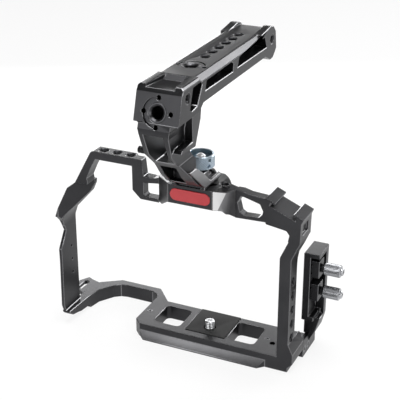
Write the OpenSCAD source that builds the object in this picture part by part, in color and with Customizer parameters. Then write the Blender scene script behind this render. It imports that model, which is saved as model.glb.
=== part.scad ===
// Camera cage with a top handle and a cable clamp.
// The origin is the camera screw's axis at the plate's top face; +X is the port side, +Y the back.

/* [Lower plate] */
// From the camera screw to the plate's grip end
plate_left = 51.1; // [46:0.1:60]
// From the camera screw to the port side's outer face
side_out = 61.7; // [60:0.1:70]
// From the camera screw to the plate's front face
frame_front = 15.3; // [14:0.1:18]
// From the camera screw to the plate's back face
plate_back = 20; // [19.8:0.1:26]
// Thickness of the plate
plate_t = 10; // [9:0.1:14]
// Reach of the dovetail's lips past their necks
lip_d = 4.1; // [3:0.1:5]
// Reach of the back dovetail's undercut
back_lip = 3; // [2:0.1:3.2]
// Height of the dovetail's square edge
lip_edge = 1.3; // [0.8:0.1:2]
// Depth of the dovetail's neck below the top face
neck_h = 4.6; // [3.4:0.1:5]
// Where the front lip starts, left of the screw
lip_left = 45.6; // [40:0.1:46]
// Where the dovetail ends, right of the screw
lip_right = 46.1; // [42:0.1:50]
// Size of the front left corner's chamfer
corner_cut = 5; // [2:0.1:6]
// How far the lower right corner bulges past the side
corner_bulge = 3.3; // [2:0.1:4]
// Height of the bulge's upper edge above the plate
bulge_top = 10.9; // [8:0.1:12]
// Height at which the bulge's straight face ends
bulge_mid = 3.6; // [2:0.1:6]
// Depth of the bulge, front to back
bulge_back = 20.7; // [14:0.1:21]
// Left window's outer side, left of the screw
window_left = 38.9; // [32:0.1:40]
// Width of each window
window_w = 19.5; // [12:0.1:20]
// Right window's outer side, right of the screw
window_right = 35.1; // [35:0.1:37]
// Front edge of the windows, in front of the screw
window_front = 8; // [5:0.1:9]
// Depth of the windows, front to back
window_d = 22.4; // [15:0.1:22.6]
// Corner radius of the windows
window_r = 3; // [1:0.1:5]

/* [Pad and camera screw] */
// Half the pad's width
pad_half = 14.6; // [11:0.1:15]
// Front edge of the pad, in front of the screw
pad_front = 9.1; // [8.5:0.1:11]
// Thickness of the rubber pad
pad_t = 1.8; // [1.2:0.1:2.4]
// How far the pad stands above the plate
pad_proud = 0.3; // [0.1:0.1:0.8]
// Diameter of the camera screw's thread
screw_d = 6.35; // [6:0.05:6.6]
// Diameter of the screw's shank inside the plate
shank_d = 5.4; // [5:0.05:5.8]
// Length of thread above the plate
screw_up = 5.7; // [4:0.1:7]
// Diameter of the screw's head
screw_head_d = 14; // [10:0.1:15]
// Height of the screw's head
screw_head_h = 3.4; // [2:0.1:4]
// Gap all round a part that turns in its hole
turn_gap = 0.08; // [0.04:0.01:0.1]
// Gap between the pad and the camera screw
pad_gap = 0.9; // [0.5:0.1:1.4]
// Diameter of the plate's small set screws
set_d = 3.6; // [2.5:0.1:4.2]
// Length of the set screws
set_l = 6; // [3:0.1:8]
// Left set screw's distance from the plate's grip end
set_in = 3.8; // [3:0.1:5]
// Right set screw, right of the screw
set_right = 40.6; // [38.5:0.1:42]
// Both set screws, behind the screw
set_back = 3.4; // [-2:0.1:6]
// Spare hole's step to the right of the set screw
spare_dx = 5.2; // [4.4:0.1:6]
// Spare hole's step to the front of the set screw
spare_dy = 4.5; // [3:0.1:8]

/* [Grip arm] */
// Reach of the arm past the plate's grip end
arm_reach = 51.5; // [46:0.1:60]
// Back edge of the arm, behind the screw
arm_back = 33.9; // [32:0.1:40]
// Front tip of the arm, in front of the screw
arm_front = 22.2; // [18:0.1:25]
// Reach of the strap loop past the upright
loop_reach = 11.2; // [9:0.1:14]
// Thickness of the strap loop
loop_t = 3; // [2:0.1:5]

/* [Grip upright and shoulder] */
// Thickness of the grip side upright
grip_t = 2.4; // [2:0.1:4]
// Height of the grip side upright
grip_h = 64; // [56:0.1:70]
// Back edge of the upright, in front of the screw
grip_rear = 2; // [0:0.1:4]
// Depth of the upright, front to back
grip_d = 21.2; // [19:0.1:22]
// Width of the shoulder, out to in
shoulder_w = 27.6; // [24:0.1:30]
// Front reach of the shoulder
shoulder_front = 24; // [23.5:0.1:26]
// Diameter of the three small holes in the upright
pin_hole_d = 1.8; // [1:0.1:2.5]
// Pitch of the three small holes
pin_hole_pitch = 10.2; // [8:0.1:12]
// Lowest of the three small holes above the plate
pin_hole_z = 24.9; // [15:0.1:28]
// Small holes' distance from the upright's back edge
pin_hole_in = 7.2; // [3:0.1:10]

/* [Top bar and bridge] */
// Top of the frame above the plate
frame_top = 121.3; // [118:0.1:130]
// Thickness of the top bar
bar_t = 5.4; // [4.5:0.1:7]
// Depth of the top bar, front to back
bar_d = 9.8; // [9:0.1:12]
// First threaded hole's distance from the bar's outer end
bar_hole_in = 4.2; // [4:0.1:4.2]
// Pitch of the threaded holes
hole_pitch = 9.75; // [9.3:0.05:10]
// Tapped bore of the quarter inch threads
tap_d = 5.2; // [5:0.05:5.4]
// Outer side of the post, left of the lens axis
post_left = 48.5; // [46:0.1:50]
// Width of the post
post_w = 7.3; // [6:0.1:8]
// Depth of the bridge, front to back
bridge_d = 6.8; // [5:0.1:8]
// Bottom of the bridge and the wing above the plate
bridge_z = 93.7; // [92:0.1:95]

/* [Centre block] */
// Left end of the block, left of the lens axis
block_left = 29.2; // [28:0.1:31]
// Right end of the block, right of the lens axis
block_right = 23.8; // [21:0.1:25]
// Top face of the block above the plate
block_top = 116.5; // [116:0.1:119]
// Front face of the badge, in front of the screw
badge_front = 31; // [29:0.1:33]
// Half the width of the badge's front face
badge_half = 15.1; // [14.6:0.1:17]
// Underside of the badge's housing above the plate
badge_z = 103.5; // [102.5:0.1:104.5]
// Width of the badge plate
badge_w = 27; // [22:0.1:28]
// Height of the badge plate
badge_h = 8; // [6:0.1:8.6]
// Thickness of the badge plate
badge_t = 1.2; // [0.8:0.1:2]
// How far the badge stands out of its recess
badge_proud = 0.3; // [0.1:0.1:0.6]
// Threaded hole in the block's top, right of the axis
top_hole_x = 17.4; // [16.5:0.1:18]
// Threaded hole in the block's top, in front of the screw
top_hole_y = 16.6; // [15:0.1:18]

/* [Rail] */
// Width of the rail over its lips
rail_w = 19.6; // [19:0.1:20.2]
// Height of the rail
rail_h = 7; // [6.5:0.1:8]
// Width of the rail's neck
rail_neck = 14.8; // [13:0.1:15.5]
// Front end of the rail, in front of the screw
rail_front = 30.5; // [29:0.1:30.8]
// Length of the rail
rail_l = 18; // [17:0.1:20]
// Height of the rail's square lip
rail_lip = 1.4; // [1:0.1:2]

/* [Wing, shoe and side] */
// Length of the wing from the block to the shoe
wing_w = 20.1; // [18:0.1:22]
// Top of the wing at the block, below the block's top
wing_drop = 3.7; // [3:0.1:5]
// Depth of the wing, front to back
wing_d = 6.3; // [5:0.1:8]
// Width of the shoe's channel
shoe_w = 18.6; // [18.4:0.05:18.9]
// Height under the shoe's lips
shoe_gap = 2.1; // [2:0.05:2.4]
// Thickness of the shoe's lips
shoe_lip_t = 1.5; // [1:0.1:2]
// Reach of each lip over the channel
shoe_lip = 2.8; // [2:0.1:3.2]
// Thickness of the shoe's side walls
shoe_wall = 4.4; // [3.4:0.1:5]
// Length of the shoe's lips, front to back
shoe_l = 19.3; // [18:0.1:21]
// Tilt of the shoe towards the port side
shoe_tilt = 23; // [20:0.5:25]
// Thickness of the side upright across the frame
side_t = 7.8; // [7:0.1:9]
// Depth of the side upright, front to back
side_d = 11.8; // [10:0.1:14]
// Height at which the side upright starts to lean
side_bend = 72; // [70:0.1:76]
// Height of the shoe's body below its floor
shoe_body_h = 22.1; // [20:0.1:24]
// Lean of the side upright at its top
side_lean = 5.3; // [4:0.1:6]
// Drop from the wing's top to the shoe's floor
shoe_seat = 6.5; // [5:0.1:8]
// Pitch of the side's threaded holes
side_pitch = 10.3; // [10:0.05:10.6]
// Lowest threaded hole above the plate
side_hole_z = 13.7; // [11:0.1:15]

/* [Cable clamp] */
// How far the bracket's inner wall lies inside the frame's outer face
bracket_in = 0.7; // [0:0.1:1.2]
// Width of the bracket
bracket_w = 10.8; // [10:0.1:13]
// Front of the bracket, behind the screw
bracket_front = 11; // [10:0.1:13]
// Depth of the bracket, front to back
bracket_d = 19; // [17:0.1:22]
// Top of the bracket above the plate
bracket_top = 65; // [62:0.1:68]
// Bottom of the bracket's shell above the plate
bracket_z = 15.6; // [13:0.1:18]
// Thickness of the bracket's top plate
bracket_cap = 3; // [2:0.1:4]
// Thickness of the bracket's inner wall
bracket_wall = 4.6; // [3.6:0.1:5]
// Thickness of the bracket's back wall
bracket_back_t = 5; // [4:0.1:6]
// Upper jaw's screw above the plate
upper_z = 54; // [53:0.1:55]
// Spacing of the two jaws
jaw_pitch = 16.7; // [15:0.1:18]
// Height of each jaw block
jaw_h = 12; // [10:0.1:13]
// Width of each jaw block, out from the wall
jaw_w = 5.6; // [4.6:0.1:6]
// Depth of each jaw block, front to back
jaw_d = 9.4; // [8:0.1:10]
// Diameter of the thumbscrews' bodies
thumb_d = 8.2; // [7:0.1:9]
// Length of the thumbscrews' bodies
thumb_l = 10.8; // [8:0.1:12]
// Diameter of the thumbscrews' threads
thumb_thread_d = 3; // [2.5:0.1:4]
// Length of the thumbscrews' collars
thumb_collar = 2.5; // [1.5:0.1:3]
// Thickness of the bracket's foot
foot_t = 3.3; // [3:0.1:4.5]
// Top of the foot above the plate
foot_top_z = 2.5; // [1:0.1:4]
// Bottom of the bracket's skirt below the plate's top
skirt_low = 2.5; // [1:0.1:4]
// Diameter of the foot's screw heads
foot_screw_d = 5; // [4:0.1:5.4]

/* [Handle grip] */
// Half the width of the grip
grip_half = 14.3; // [13.6:0.1:16]
// Half the width of the grip's flat top
grip_flat = 10.8; // [10:0.1:12]
// Front end of the grip, in front of the screw
grip_front = 75; // [73:0.1:80]
// Length of the grip
grip_l = 150; // [145:0.1:165]
// Underside of the grip above the plate
grip_z = 176.5; // [174:0.1:180]
// Height of the grip
grip_tall = 16.5; // [16:0.1:20]
// Drop of the grip's front and back heels below its underside
heel_drop = 4.1; // [3:0.1:5]
// Drop of the grip's side chamfers
grip_cut = 3; // [2:0.1:4]
// Back end of the grip's nose, in front of the screw
nose_back = 46; // [44:0.1:50]
// Half the width of the nose's flat top
nose_flat = 12.8; // [12:0.1:13.4]
// Drop of the nose's side chamfers
nose_cut = 1.4; // [1:0.1:2]
// Width of the web between the side pockets
grip_web = 9.4; // [9:0.1:11]
// Width of each ear
ear_w = 5.5; // [4:0.1:6.5]
// Pitch of the top's threaded holes
grip_pitch = 10.3; // [10:0.05:10.6]
// Front hole of the row, in front of the screw
grip_hole_y = 8.8; // [8:0.1:10]
// Place of the top locating hole, in front of the screw
locate_y = 28.6; // [28:0.1:29.4]
// Front locating hole above the grip's underside
locate_up = 2.1; // [1:0.1:3.5]
// Tilt of the grip's front face
front_tilt = 16.6; // [15:0.1:18]
// Radius of the locating pins' circle
locate_r = 8.4; // [8.2:0.05:8.6]
// Diameter of the locating pin holes
locate_pin_d = 3; // [2.6:0.1:3.2]
// Tapped bore of the three eighths thread
insert_tap_d = 8; // [7.8:0.05:8.2]
// Outer diameter of the thread inserts
insert_d = 11.6; // [11.2:0.1:12]
// Depth of the thread inserts
insert_t = 6; // [5:0.1:7]
// Depth of the locating holes
locate_depth = 12; // [11:0.1:13]
// Radius of the locating arc grooves
arc_r = 8.4; // [8.1:0.1:8.6]
// Width of the locating arc grooves
arc_w = 1.2; // [0.8:0.1:1.6]

/* [Handle leg and clamp] */
// Left side of the leg, left of the lens axis
leg_left = 11.2; // [10.8:0.1:12]
// Right side of the leg, right of the lens axis
leg_right = 10.4; // [10:0.1:11]
// Thickness of the leg's walls
leg_wall = 3; // [2.4:0.1:3.6]
// Left side of the leg's middle rib, right of the lens axis
rib_left = 4; // [3.4:0.1:4.2]
// Right side of the leg's low pocket, right of the lens axis
low_right = 2.4; // [1.5:0.1:3]
// Diameter of the boss on the leg's left side
boss_d = 4.2; // [3.6:0.1:5]
// How far the boss stands out
boss_l = 4.5; // [3:0.1:6]
// Front of the foot, in front of the screw
foot_front = 33; // [32.5:0.1:34]
// Length of the foot, front to back
foot_l = 18; // [17:0.1:19]
// Length of the movable jaw over the rail, front to back
jaw_l = 22.2; // [20:0.1:22.6]
// Height of the movable jaw's block
jaw_block_h = 4.6; // [4.4:0.1:5.2]
// Height of the foot over the rail
foot_cap = 4.5; // [4:0.1:6]
// Inner end of the movable jaw, right of the lens axis
jaw_in = 4; // [3.5:0.1:5]
// Gap between moving parts
slide_gap = 0.3; // [0.25:0.01:0.4]
// Thickness of the movable jaw's side plate
jaw_plate_t = 1.6; // [1.2:0.1:2.4]
// Diameter of the clamp knob
knob_d = 17.4; // [15:0.1:17.6]
// Height of the clamp knob
knob_h = 8.4; // [7:0.1:9.4]
// Wall of the knob round its hollow
knob_wall = 1.6; // [1:0.1:2.4]
// Depth of the knob's hollow
knob_hollow = 3.4; // [2:0.1:5]
// Diameter of the knob's stud
stud_d = 5; // [4:0.1:6]
// Diameter of the stud's head inside the knob
stud_head_d = 6.6; // [5.6:0.1:8]
// Knob's axis inside the leg's right side
knob_inset = 6.8; // [6.5:0.1:7.1]
// Knob's axis behind the foot's front
knob_in = 10.3; // [10.2:0.1:10.8]
// Diameter of the jaw's guide pins
guide_d = 2; // [1.6:0.1:2.4]
// Front guide pin, in front of the foot
guide_out = 11; // [10:0.1:12]
// Front guide pin above the foot
guide_up = 3.5; // [3:0.1:4]
// Back guide pin's step to the back
guide_dy = 6.5; // [6:0.1:7]
// Back guide pin's step down
guide_dz = 4.5; // [4:0.1:5]

/* [Hidden] */

anodised = [0.24, 0.24, 0.25];
anodised_dark = [0.16, 0.16, 0.17];
steel = [0.75, 0.76, 0.78];
rubber = [0.13, 0.13, 0.13];
badge_red = [0.75, 0.2, 0.22];
knob_steel = [0.42, 0.49, 0.56];
bare_grey = [0.5, 0.5, 0.5];

// Overrun of a cut past the face that it opens
cut = 1;
// Facets of small and large circles
fine = 48;
arc_fine = 96;

arm_left = plate_left + arm_reach;
grip_inner = arm_left - grip_t;
shoulder_z = grip_h;
shoulder_h = frame_top - grip_h;
bar_left = arm_left - shoulder_w;
bar_z = frame_top - bar_t;
bar_back = frame_front - bar_d;
wing_end = block_right + wing_w;
wing_top = block_top - wing_drop;
side_in = side_out - side_t;
side_back = frame_front - side_d;
foot_top = block_top + rail_h + foot_cap;
leg_h = grip_z - foot_top;
grip_top = grip_z + grip_tall;
grip_low = grip_z - heel_drop;
knob_x = leg_right - knob_inset;
knob_y = foot_front - knob_in;
guide_y = foot_front + guide_out;
guide_z = foot_top + guide_up;
leg_sweep = grip_front - foot_front;
window_back = window_d - window_front;
bracket_x = side_out - bracket_in;
rail_back = rail_front - rail_l;
bracket_right = bracket_x + bracket_w;
bracket_back = bracket_front + bracket_d;
skirt_z = -skirt_low;
jaw_y = bracket_front + slide_gap;
thumb_y = jaw_y + jaw_d / 2;
jaw_x = bracket_x + bracket_wall + slide_gap;
lower_z = upper_z - jaw_pitch;
grip_back_y = grip_l - grip_front;
lip_z = plate_t - lip_edge;
badge_mid = (badge_z + block_top) / 2;
shoe_x = wing_end + shoe_wall / 2;
shoe_z = wing_top - shoe_seat;
side_h = shoe_z - shoe_body_h;
foot_screw_ys = [bracket_front - foot_t / 2, bracket_front + foot_screw_d];

// Counts of the like holes
bar_holes = 3;
side_holes = 5;
grip_holes = 6;
pin_holes = 3;
// Directions of the locating pin holes, and where the arc grooves start and end
front_pin_angles = [0, 90, 180, 270];
top_pin_angles = [0, 180];
front_arc = [80, 280];
top_arc = [20, 160];

// Points given as shares of a box: its corner and its two sides
function spread(shares, corner, sides) =
    [for (s = shares) [corner[0] + s[0] * sides[0], corner[1] + s[1] * sides[1]]];

// Extrusions along the three axes; the outline is drawn in the other two
module along_x(from, to) {
    translate([from, 0, 0]) rotate([90, 0, 90]) linear_extrude(to - from) children();
}
module along_y(from, to) {
    translate([0, to, 0]) rotate([90, 0, 0]) linear_extrude(to - from) children();
}
module along_z(from, to) {
    translate([0, 0, from]) linear_extrude(to - from) children();
}
module block(low, high) {
    translate(low) cube(high - low);
}
module rod_x(d, y, z, from, to) {
    translate([from, y, z]) rotate([0, 90, 0]) cylinder(d = d, h = to - from, $fn = fine);
}
module rod_z(d, x, y, from, to) {
    translate([x, y, from]) cylinder(d = d, h = to - from, $fn = fine);
}
module round_rect(low, high, r) {
    translate([low[0] + r, low[1]]) square([high[0] - low[0] - 2 * r, high[1] - low[1]]);
    translate([low[0], low[1] + r]) square([high[0] - low[0], high[1] - low[1] - 2 * r]);
    for (x = [low[0] + r, high[0] - r], y = [low[1] + r, high[1] - r]) {
        translate([x, y]) circle(r = r, $fn = fine);
    }
}

// Lower plate with its dovetail, two windows and the bulging corner under the side upright
module lip_outline() {
    polygon([[0, -lip_z + lip_d], [0, -plate_t], [-lip_d, -plate_t], [-lip_d, -lip_z]]);
}
module base_plate() {
    color(anodised) difference() {
        union() {
            block([-plate_left, -frame_front, -plate_t], [side_out, plate_back, 0]);
            intersection() {
                translate([0, -frame_front, 0]) along_x(-lip_left, lip_right) lip_outline();
                along_z(-plate_t, 0) polygon([[-lip_left, -frame_front],
                    [-lip_left + lip_d, -frame_front - lip_d],
                    [lip_right - lip_d, -frame_front - lip_d], [lip_right, -frame_front]]);
            }
            along_y(-frame_front, -frame_front + bulge_back) polygon([[side_out - corner_bulge, 0],
                [side_out - corner_bulge, -plate_t], [side_out + corner_bulge, -bulge_mid],
                [side_out + corner_bulge, bulge_mid], [side_out, bulge_top], [side_out, 0]]);
        }
        translate([-plate_left, -frame_front, -plate_t - cut]) rotate([0, 0, 45])
            cube([corner_cut * sqrt(2), corner_cut * sqrt(2), 2 * plate_t + 2 * cut], center = true);
        translate([0, plate_back, 0]) along_x(-lip_left + lip_d, lip_right) polygon([
            [-lip_edge, -plate_t - cut], [-lip_edge, -lip_z], [-lip_edge - back_lip, -lip_z + back_lip],
            [-lip_edge - back_lip, -neck_h + lip_edge], [cut, -neck_h + lip_edge], [cut, -plate_t - cut]]);
        along_z(-plate_t - cut, cut) round_rect([-window_left, -window_front],
            [-window_left + window_w, window_back], window_r);
        along_z(-plate_t - cut, cut) round_rect([window_right - window_w, -window_front],
            [window_right, window_back], window_r);
        block([-pad_half, -pad_front, pad_proud - pad_t], [pad_half, plate_back + cut, cut]);
        rod_z(shank_d + 2 * turn_gap, 0, 0, -plate_t - cut, 0);
        rod_z(screw_head_d + 2 * slide_gap, 0, 0, -plate_t - cut, screw_head_h - plate_t + slide_gap);
        rod_z(set_d, set_in - plate_left, set_back, -set_l, cut);
        rod_z(set_d, set_right, set_back, -set_l, cut);
        rod_z(set_d, set_right + spare_dx, set_back - spare_dy, -set_l, cut);
    }
}

// Rubber pad under the camera, with a hole for the screw
module base_pad() {
    color(rubber) difference() {
        block([-pad_half, -pad_front, pad_proud - pad_t], [pad_half, plate_back, pad_proud]);
        rod_z(screw_d + 2 * pad_gap, 0, 0, -pad_t - cut, cut);
    }
}

// Two set screws with socket heads, flush with the plate
socket_share = 0.5;
module set_screw(x) {
    difference() {
        rod_z(set_d, x, set_back, -set_l, 0);
        translate([x, set_back, -set_d * socket_share]) cylinder(d = set_d * socket_share, h = set_d,
            $fn = 6);
    }
}
module base_set_screws() {
    color(steel) set_screw(set_in - plate_left);
    color(steel) set_screw(set_right);
}

// Slotted camera screw held from below
slot_w_share = 0.125;
slot_h_share = 0.5;
module camera_screw() {
    color(steel) difference() {
        union() {
            rod_z(screw_d, 0, 0, 0, screw_up);
            rod_z(shank_d, 0, 0, screw_head_h - plate_t, 0);
            rod_z(screw_head_d, 0, 0, -plate_t, screw_head_h - plate_t);
        }
        block([-screw_head_d, -screw_d * slot_w_share, -plate_t - cut],
            [screw_head_d, screw_d * slot_w_share, screw_head_h * slot_h_share - plate_t]);
    }
}

// Arm that passes behind the hand grip, with the strap loop at its outer corner
arm_back_shares = [[0, 0.59], [0, 0.63], [0.03, 0.74], [0.13, 0.83], [0.53, 0.83], [0.62, 0.8], [0.7, 0.71],
    [0.83, 0.4], [0.87, 0.04], [0.89, -0.65]];
arm_outer_shares = [[1, -0.64], [1, 0.1], [0.985, 0.35], [0.926, 0.72], [0.66, 1], [0.054, 1]];
loop_shares = [[0, 0.15], [0.93, 0.32], [1, 0.62], [0.65, 0.82], [0.2, 0.75], [-0.35, 0.7]];
slot_shares = [[0.37, 0.3], [0.65, 0.36], [0.65, 0.6], [0.5, 0.67], [0.3, 0.62]];
arm_tip_shares = [[0.09, -1.02], [-0.03, -0.8], [-0.32, -0.6], [-0.51, -0.48], [-0.66, -0.14], [-0.75, -0.1],
    [-0.75, -1.2], [0.09, -1.2]];
arm_edge_shares = [[-0.1, 0], [0.54, -0.68], [0.83, -1.1], [-0.1, -1.1]];
module grip_arm() {
    inner = spread(arm_back_shares, [-plate_left, 0], [-arm_reach, arm_back]);
    outer = spread(arm_outer_shares, [-plate_left, 0], [-arm_reach, arm_back]);
    color(anodised) difference() {
        union() {
            along_z(-plate_t, 0) polygon(concat(inner, outer, [[lip_d - lip_left, plate_back],
                [-plate_left, plate_back]]));
            along_z(-loop_t, 0) polygon(spread(loop_shares, [-arm_left, 0], [-loop_reach, arm_back]));
        }
        along_z(-plate_t - cut, cut) polygon(spread(slot_shares, [-arm_left, 0],
            [-loop_reach, arm_back]));
        along_x(-arm_left - cut, -plate_left) polygon(spread(arm_tip_shares, [0, 0],
            [arm_back, plate_t]));
        along_y(-arm_front - cut, lip_d) polygon(spread(arm_edge_shares, [-arm_left, 0],
            [loop_reach, plate_t]));
    }
}

// Thin upright on the grip side, with its waved front edge and three small holes
grip_front_shares = [[0.29, 1], [0.39, 0.93], [0.18, 0.82], [0.04, 0.75], [0.05, 0.6],
    [0.01, 0.07], [0.09, 0]];
module grip_upright() {
    front = spread(grip_front_shares, [-grip_rear - grip_d, 0], [grip_d, grip_h]);
    color(anodised_dark) difference() {
        along_x(-arm_left, -grip_inner) polygon(concat([[-grip_rear, 0], [-grip_rear, grip_h]], front));
        for (i = [0:pin_holes - 1]) {
            rod_x(pin_hole_d, -grip_rear - pin_hole_in, pin_hole_z + i * pin_hole_pitch, -arm_left - cut,
                cut - grip_inner);
        }
    }
}

// Shoulder from the upright to the top bar: a wide lower chunk and a narrow diagonal
shoulder_outer_shares = [[0, 0], [0, 0.17], [0.25, 0.51], [0.39, 0.56], [0.86, 0.98], [0.93, 1], [1, 1]];
shoulder_inner_shares = [[0.87, 0.79], [0.74, 0.65], [0.76, 0.6], [0.74, 0.52], [0.65, 0.42], [0.17, 0.16],
    [0.09, 0.05]];
shoulder_side_shares = [[0.32, 0], [0.2, 0.08], [0.06, 0.14], [0, 0.16], [0, 0.6], [1, 0.6], [1, 0]];
shoulder_plan_shares = [[0, 0], [0.08, 0], [0.74, 0.88], [0.77, 1], [0, 1]];
shoulder_split_share = 0.57;
module shoulder_outline() {
    outer = spread(shoulder_outer_shares, [-arm_left, shoulder_z], [shoulder_w, shoulder_h]);
    inner = spread(shoulder_inner_shares, [-arm_left, shoulder_z], [shoulder_w, shoulder_h]);
    polygon(concat(outer, [[-bar_left, bar_z]], inner, [[-grip_inner, shoulder_z]]));
}
module grip_shoulder() {
    depth = shoulder_front - grip_rear;
    split = shoulder_z + shoulder_split_share * shoulder_h;
    color(anodised_dark) union() {
        intersection() {
            along_y(-shoulder_front, -grip_rear) shoulder_outline();
            along_x(-arm_left, -bar_left) polygon(spread(shoulder_side_shares,
                [-shoulder_front, shoulder_z], [depth, shoulder_h]));
            along_z(shoulder_z, split) polygon(spread(shoulder_plan_shares,
                [-arm_left, -shoulder_front], [shoulder_w, depth]));
        }
        intersection() {
            along_y(-frame_front, -bar_back) shoulder_outline();
            block([-arm_left, -frame_front, split], [-bar_left, -bar_back, frame_top]);
        }
    }
}

// Top bar with its three threaded holes
module top_bar() {
    color(anodised) difference() {
        block([-bar_left, -frame_front, bar_z], [-post_left, -bar_back, frame_top]);
        for (i = [0:bar_holes - 1]) {
            rod_z(tap_d, bar_hole_in + i * hole_pitch - bar_left, bar_d / 2 - frame_front, bar_z - cut,
                frame_top + cut);
        }
    }
}

// Post and two arms between the top bar and the centre block, with a slot through
bridge_shares = [[0, 0.2], [0.3, 0], [1, 0], [1, 0.63], [0.8, 0.59], [0.44, 0.6]];
bridge_slot_shares = [[0.44, 0.14], [0.5, 0.09], [1.2, 0.09], [1.2, 0.5], [0.44, 0.43]];
module front_bridge() {
    w = post_left - block_left;
    h = frame_top - bridge_z;
    color(anodised) difference() {
        along_y(-frame_front, bridge_d - frame_front) polygon(concat([[-post_left, frame_top]],
            spread(bridge_shares, [-post_left, bridge_z], [w, h]), [[post_w - post_left, frame_top]]));
        along_y(-frame_front - cut, bridge_d + cut) polygon(spread(bridge_slot_shares,
            [-post_left, bridge_z], [w, h]));
    }
}

// Centre block: badge housing, its two flanks and the bed of the rail
block_low_shares = [[0, 0.04], [0.08, 0.08], [0.26, 0.43]];
flank_shares = [[0, 0.43], [0.45, 0.36], [0.8, 0.17], [1, 0]];
plan_right_shares = [[0.68, 0.44], [1, 1]];
plan_back_shares = [[1, 0.35], [0.82, 0.26], [0.73, 0.46], [0.49, 0.82], [0.34, 0.86],
    [-0.34, 0.86], [-0.6, 0.7], [-0.8, 0.5]];
module centre_block() {
    h = block_top - bridge_z;
    flank = block_right - badge_half;
    bed = rail_w / 2 + rail_lip;
    color(anodised) difference() {
        intersection() {
            along_y(-badge_front, 0) polygon(concat(
                spread(block_low_shares, [-block_left, bridge_z], [block_left + block_right, h]),
                spread(flank_shares, [badge_half, bridge_z], [flank, h]),
                [[block_right, wing_top], [badge_half, block_top], [-badge_half, block_top],
                [-block_left, wing_top]]));
            along_z(bridge_z - cut, block_top) polygon(concat(
                [[-block_left, -frame_front], [-badge_half, -badge_front], [badge_half, -badge_front]],
                spread(plan_right_shares, [badge_half, -badge_front],
                    [flank, badge_front - frame_front]),
                spread(plan_back_shares, [0, -frame_front], [block_right, frame_front]),
                [[-block_left, bridge_d - frame_front]]));
        }
        along_y(-badge_front - cut, badge_t - badge_proud - badge_front) badge_outline(turn_gap);
        rod_z(tap_d, top_hole_x, -top_hole_y, badge_z, block_top + cut);
        block([-bed, -frame_front + bridge_d, bridge_z - cut], [bed, cut, badge_z]);
    }
}

// Red badge plate with round ends, left bare
module badge_outline(gap) {
    r = badge_h / 2 + gap;
    translate([r - badge_w / 2 - gap, badge_mid - r]) square([badge_w + 2 * gap - 2 * r, 2 * r]);
    for (side = [-1, 1]) {
        translate([side * (badge_w / 2 + gap - r), badge_mid]) circle(r = r, $fn = fine);
    }
}
module name_plate() {
    color(badge_red) along_y(-badge_front - badge_proud, badge_t - badge_proud - badge_front)
        badge_outline(0);
}

// Rail that the handle's foot clamps, with a cross groove
rail_foot_share = 0.2;
rail_top_share = 0.67;
groove_share = 0.4;
module rail_outline(gap) {
    half = rail_w / 2 + gap;
    neck = rail_neck / 2 + gap;
    low = rail_h * rail_foot_share;
    slope = half - neck;
    top = neck + slope * (1 - rail_top_share);
    polygon([[-neck, 0], [-neck, low - gap], [-half, low - gap + slope],
        [-half, low + gap + slope + rail_lip], [-top, rail_h + gap], [top, rail_h + gap],
        [half, low + gap + slope + rail_lip], [half, low - gap + slope], [neck, low - gap], [neck, 0]]);
}
module top_rail() {
    color(anodised_dark) difference() {
        translate([0, 0, block_top]) along_y(-rail_front, -rail_back) rail_outline(0);
        block([-rail_w, -rail_back - 2 * rail_lip - rail_h * groove_share,
            block_top + rail_h - rail_lip],
            [rail_w, -rail_back - rail_h * groove_share, block_top + rail_h + cut]);
    }
}

// Wing from the centre block to the shoe, with its window
wing_shares = [[0, 0], [1, 0.04], [1, 0.89], [0.45, 0.93], [0.2, 1], [0, 1]];
wing_window_shares = [[0.07, 0.57], [0.18, 0.8], [0.28, 0.79], [0.8, 0.64], [0.91, 0.4], [0.88, 0.27],
    [0.77, 0.16], [0.28, 0.14], [0.15, 0.23]];
module shoulder_wing() {
    size = [wing_w, wing_top - bridge_z];
    color(anodised) difference() {
        along_y(-frame_front, wing_d - frame_front) polygon(spread(wing_shares,
            [block_right, bridge_z], size));
        along_y(-frame_front - cut, cut) polygon(spread(wing_window_shares,
            [block_right, bridge_z], size));
    }
}

// Tilted cold shoe at the corner: a wedge of a body under two lipped walls
shoe_body_shares = [[0, 0.41], [0.59, 0.32], [0.68, 0.2], [0.64, 0]];
shoe_pocket_shares = [[-0.75, 0.2], [-0.1, 0.5]];
function shoe_point(x, z) = [shoe_x + x * cos(shoe_tilt) + z * sin(shoe_tilt),
    shoe_z - x * sin(shoe_tilt) + z * cos(shoe_tilt)];
module cold_shoe() {
    reach = side_out + side_lean - wing_end;
    top = shoe_gap + shoe_lip_t;
    left = (shoe_wall / 2 + top * sin(shoe_tilt)) / cos(shoe_tilt);
    right = shoe_w + shoe_wall;
    pocket = spread(shoe_pocket_shares, [0, side_h], [frame_front, shoe_body_h]);
    color(anodised_dark) difference() {
        along_y(-frame_front, shoe_l - frame_front) polygon(concat(
            spread(shoe_body_shares, [wing_end, side_h], [reach, shoe_body_h]),
            [[side_out + side_lean, side_h], shoe_point(right, 0), shoe_point(right, top),
            shoe_point(shoe_w - shoe_lip, top), shoe_point(shoe_w - shoe_lip, shoe_gap),
            shoe_point(shoe_w, shoe_gap), shoe_point(shoe_w, 0), shoe_point(0, 0),
            shoe_point(0, shoe_gap), shoe_point(shoe_lip, shoe_gap), shoe_point(shoe_lip, top),
            shoe_point(-left, top)]));
        block([side_out + side_lean - shoe_lip_t, pocket[0][0], pocket[0][1]],
            [side_out + side_lean + cut, pocket[1][0], pocket[1][1]]);
    }
}

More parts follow.
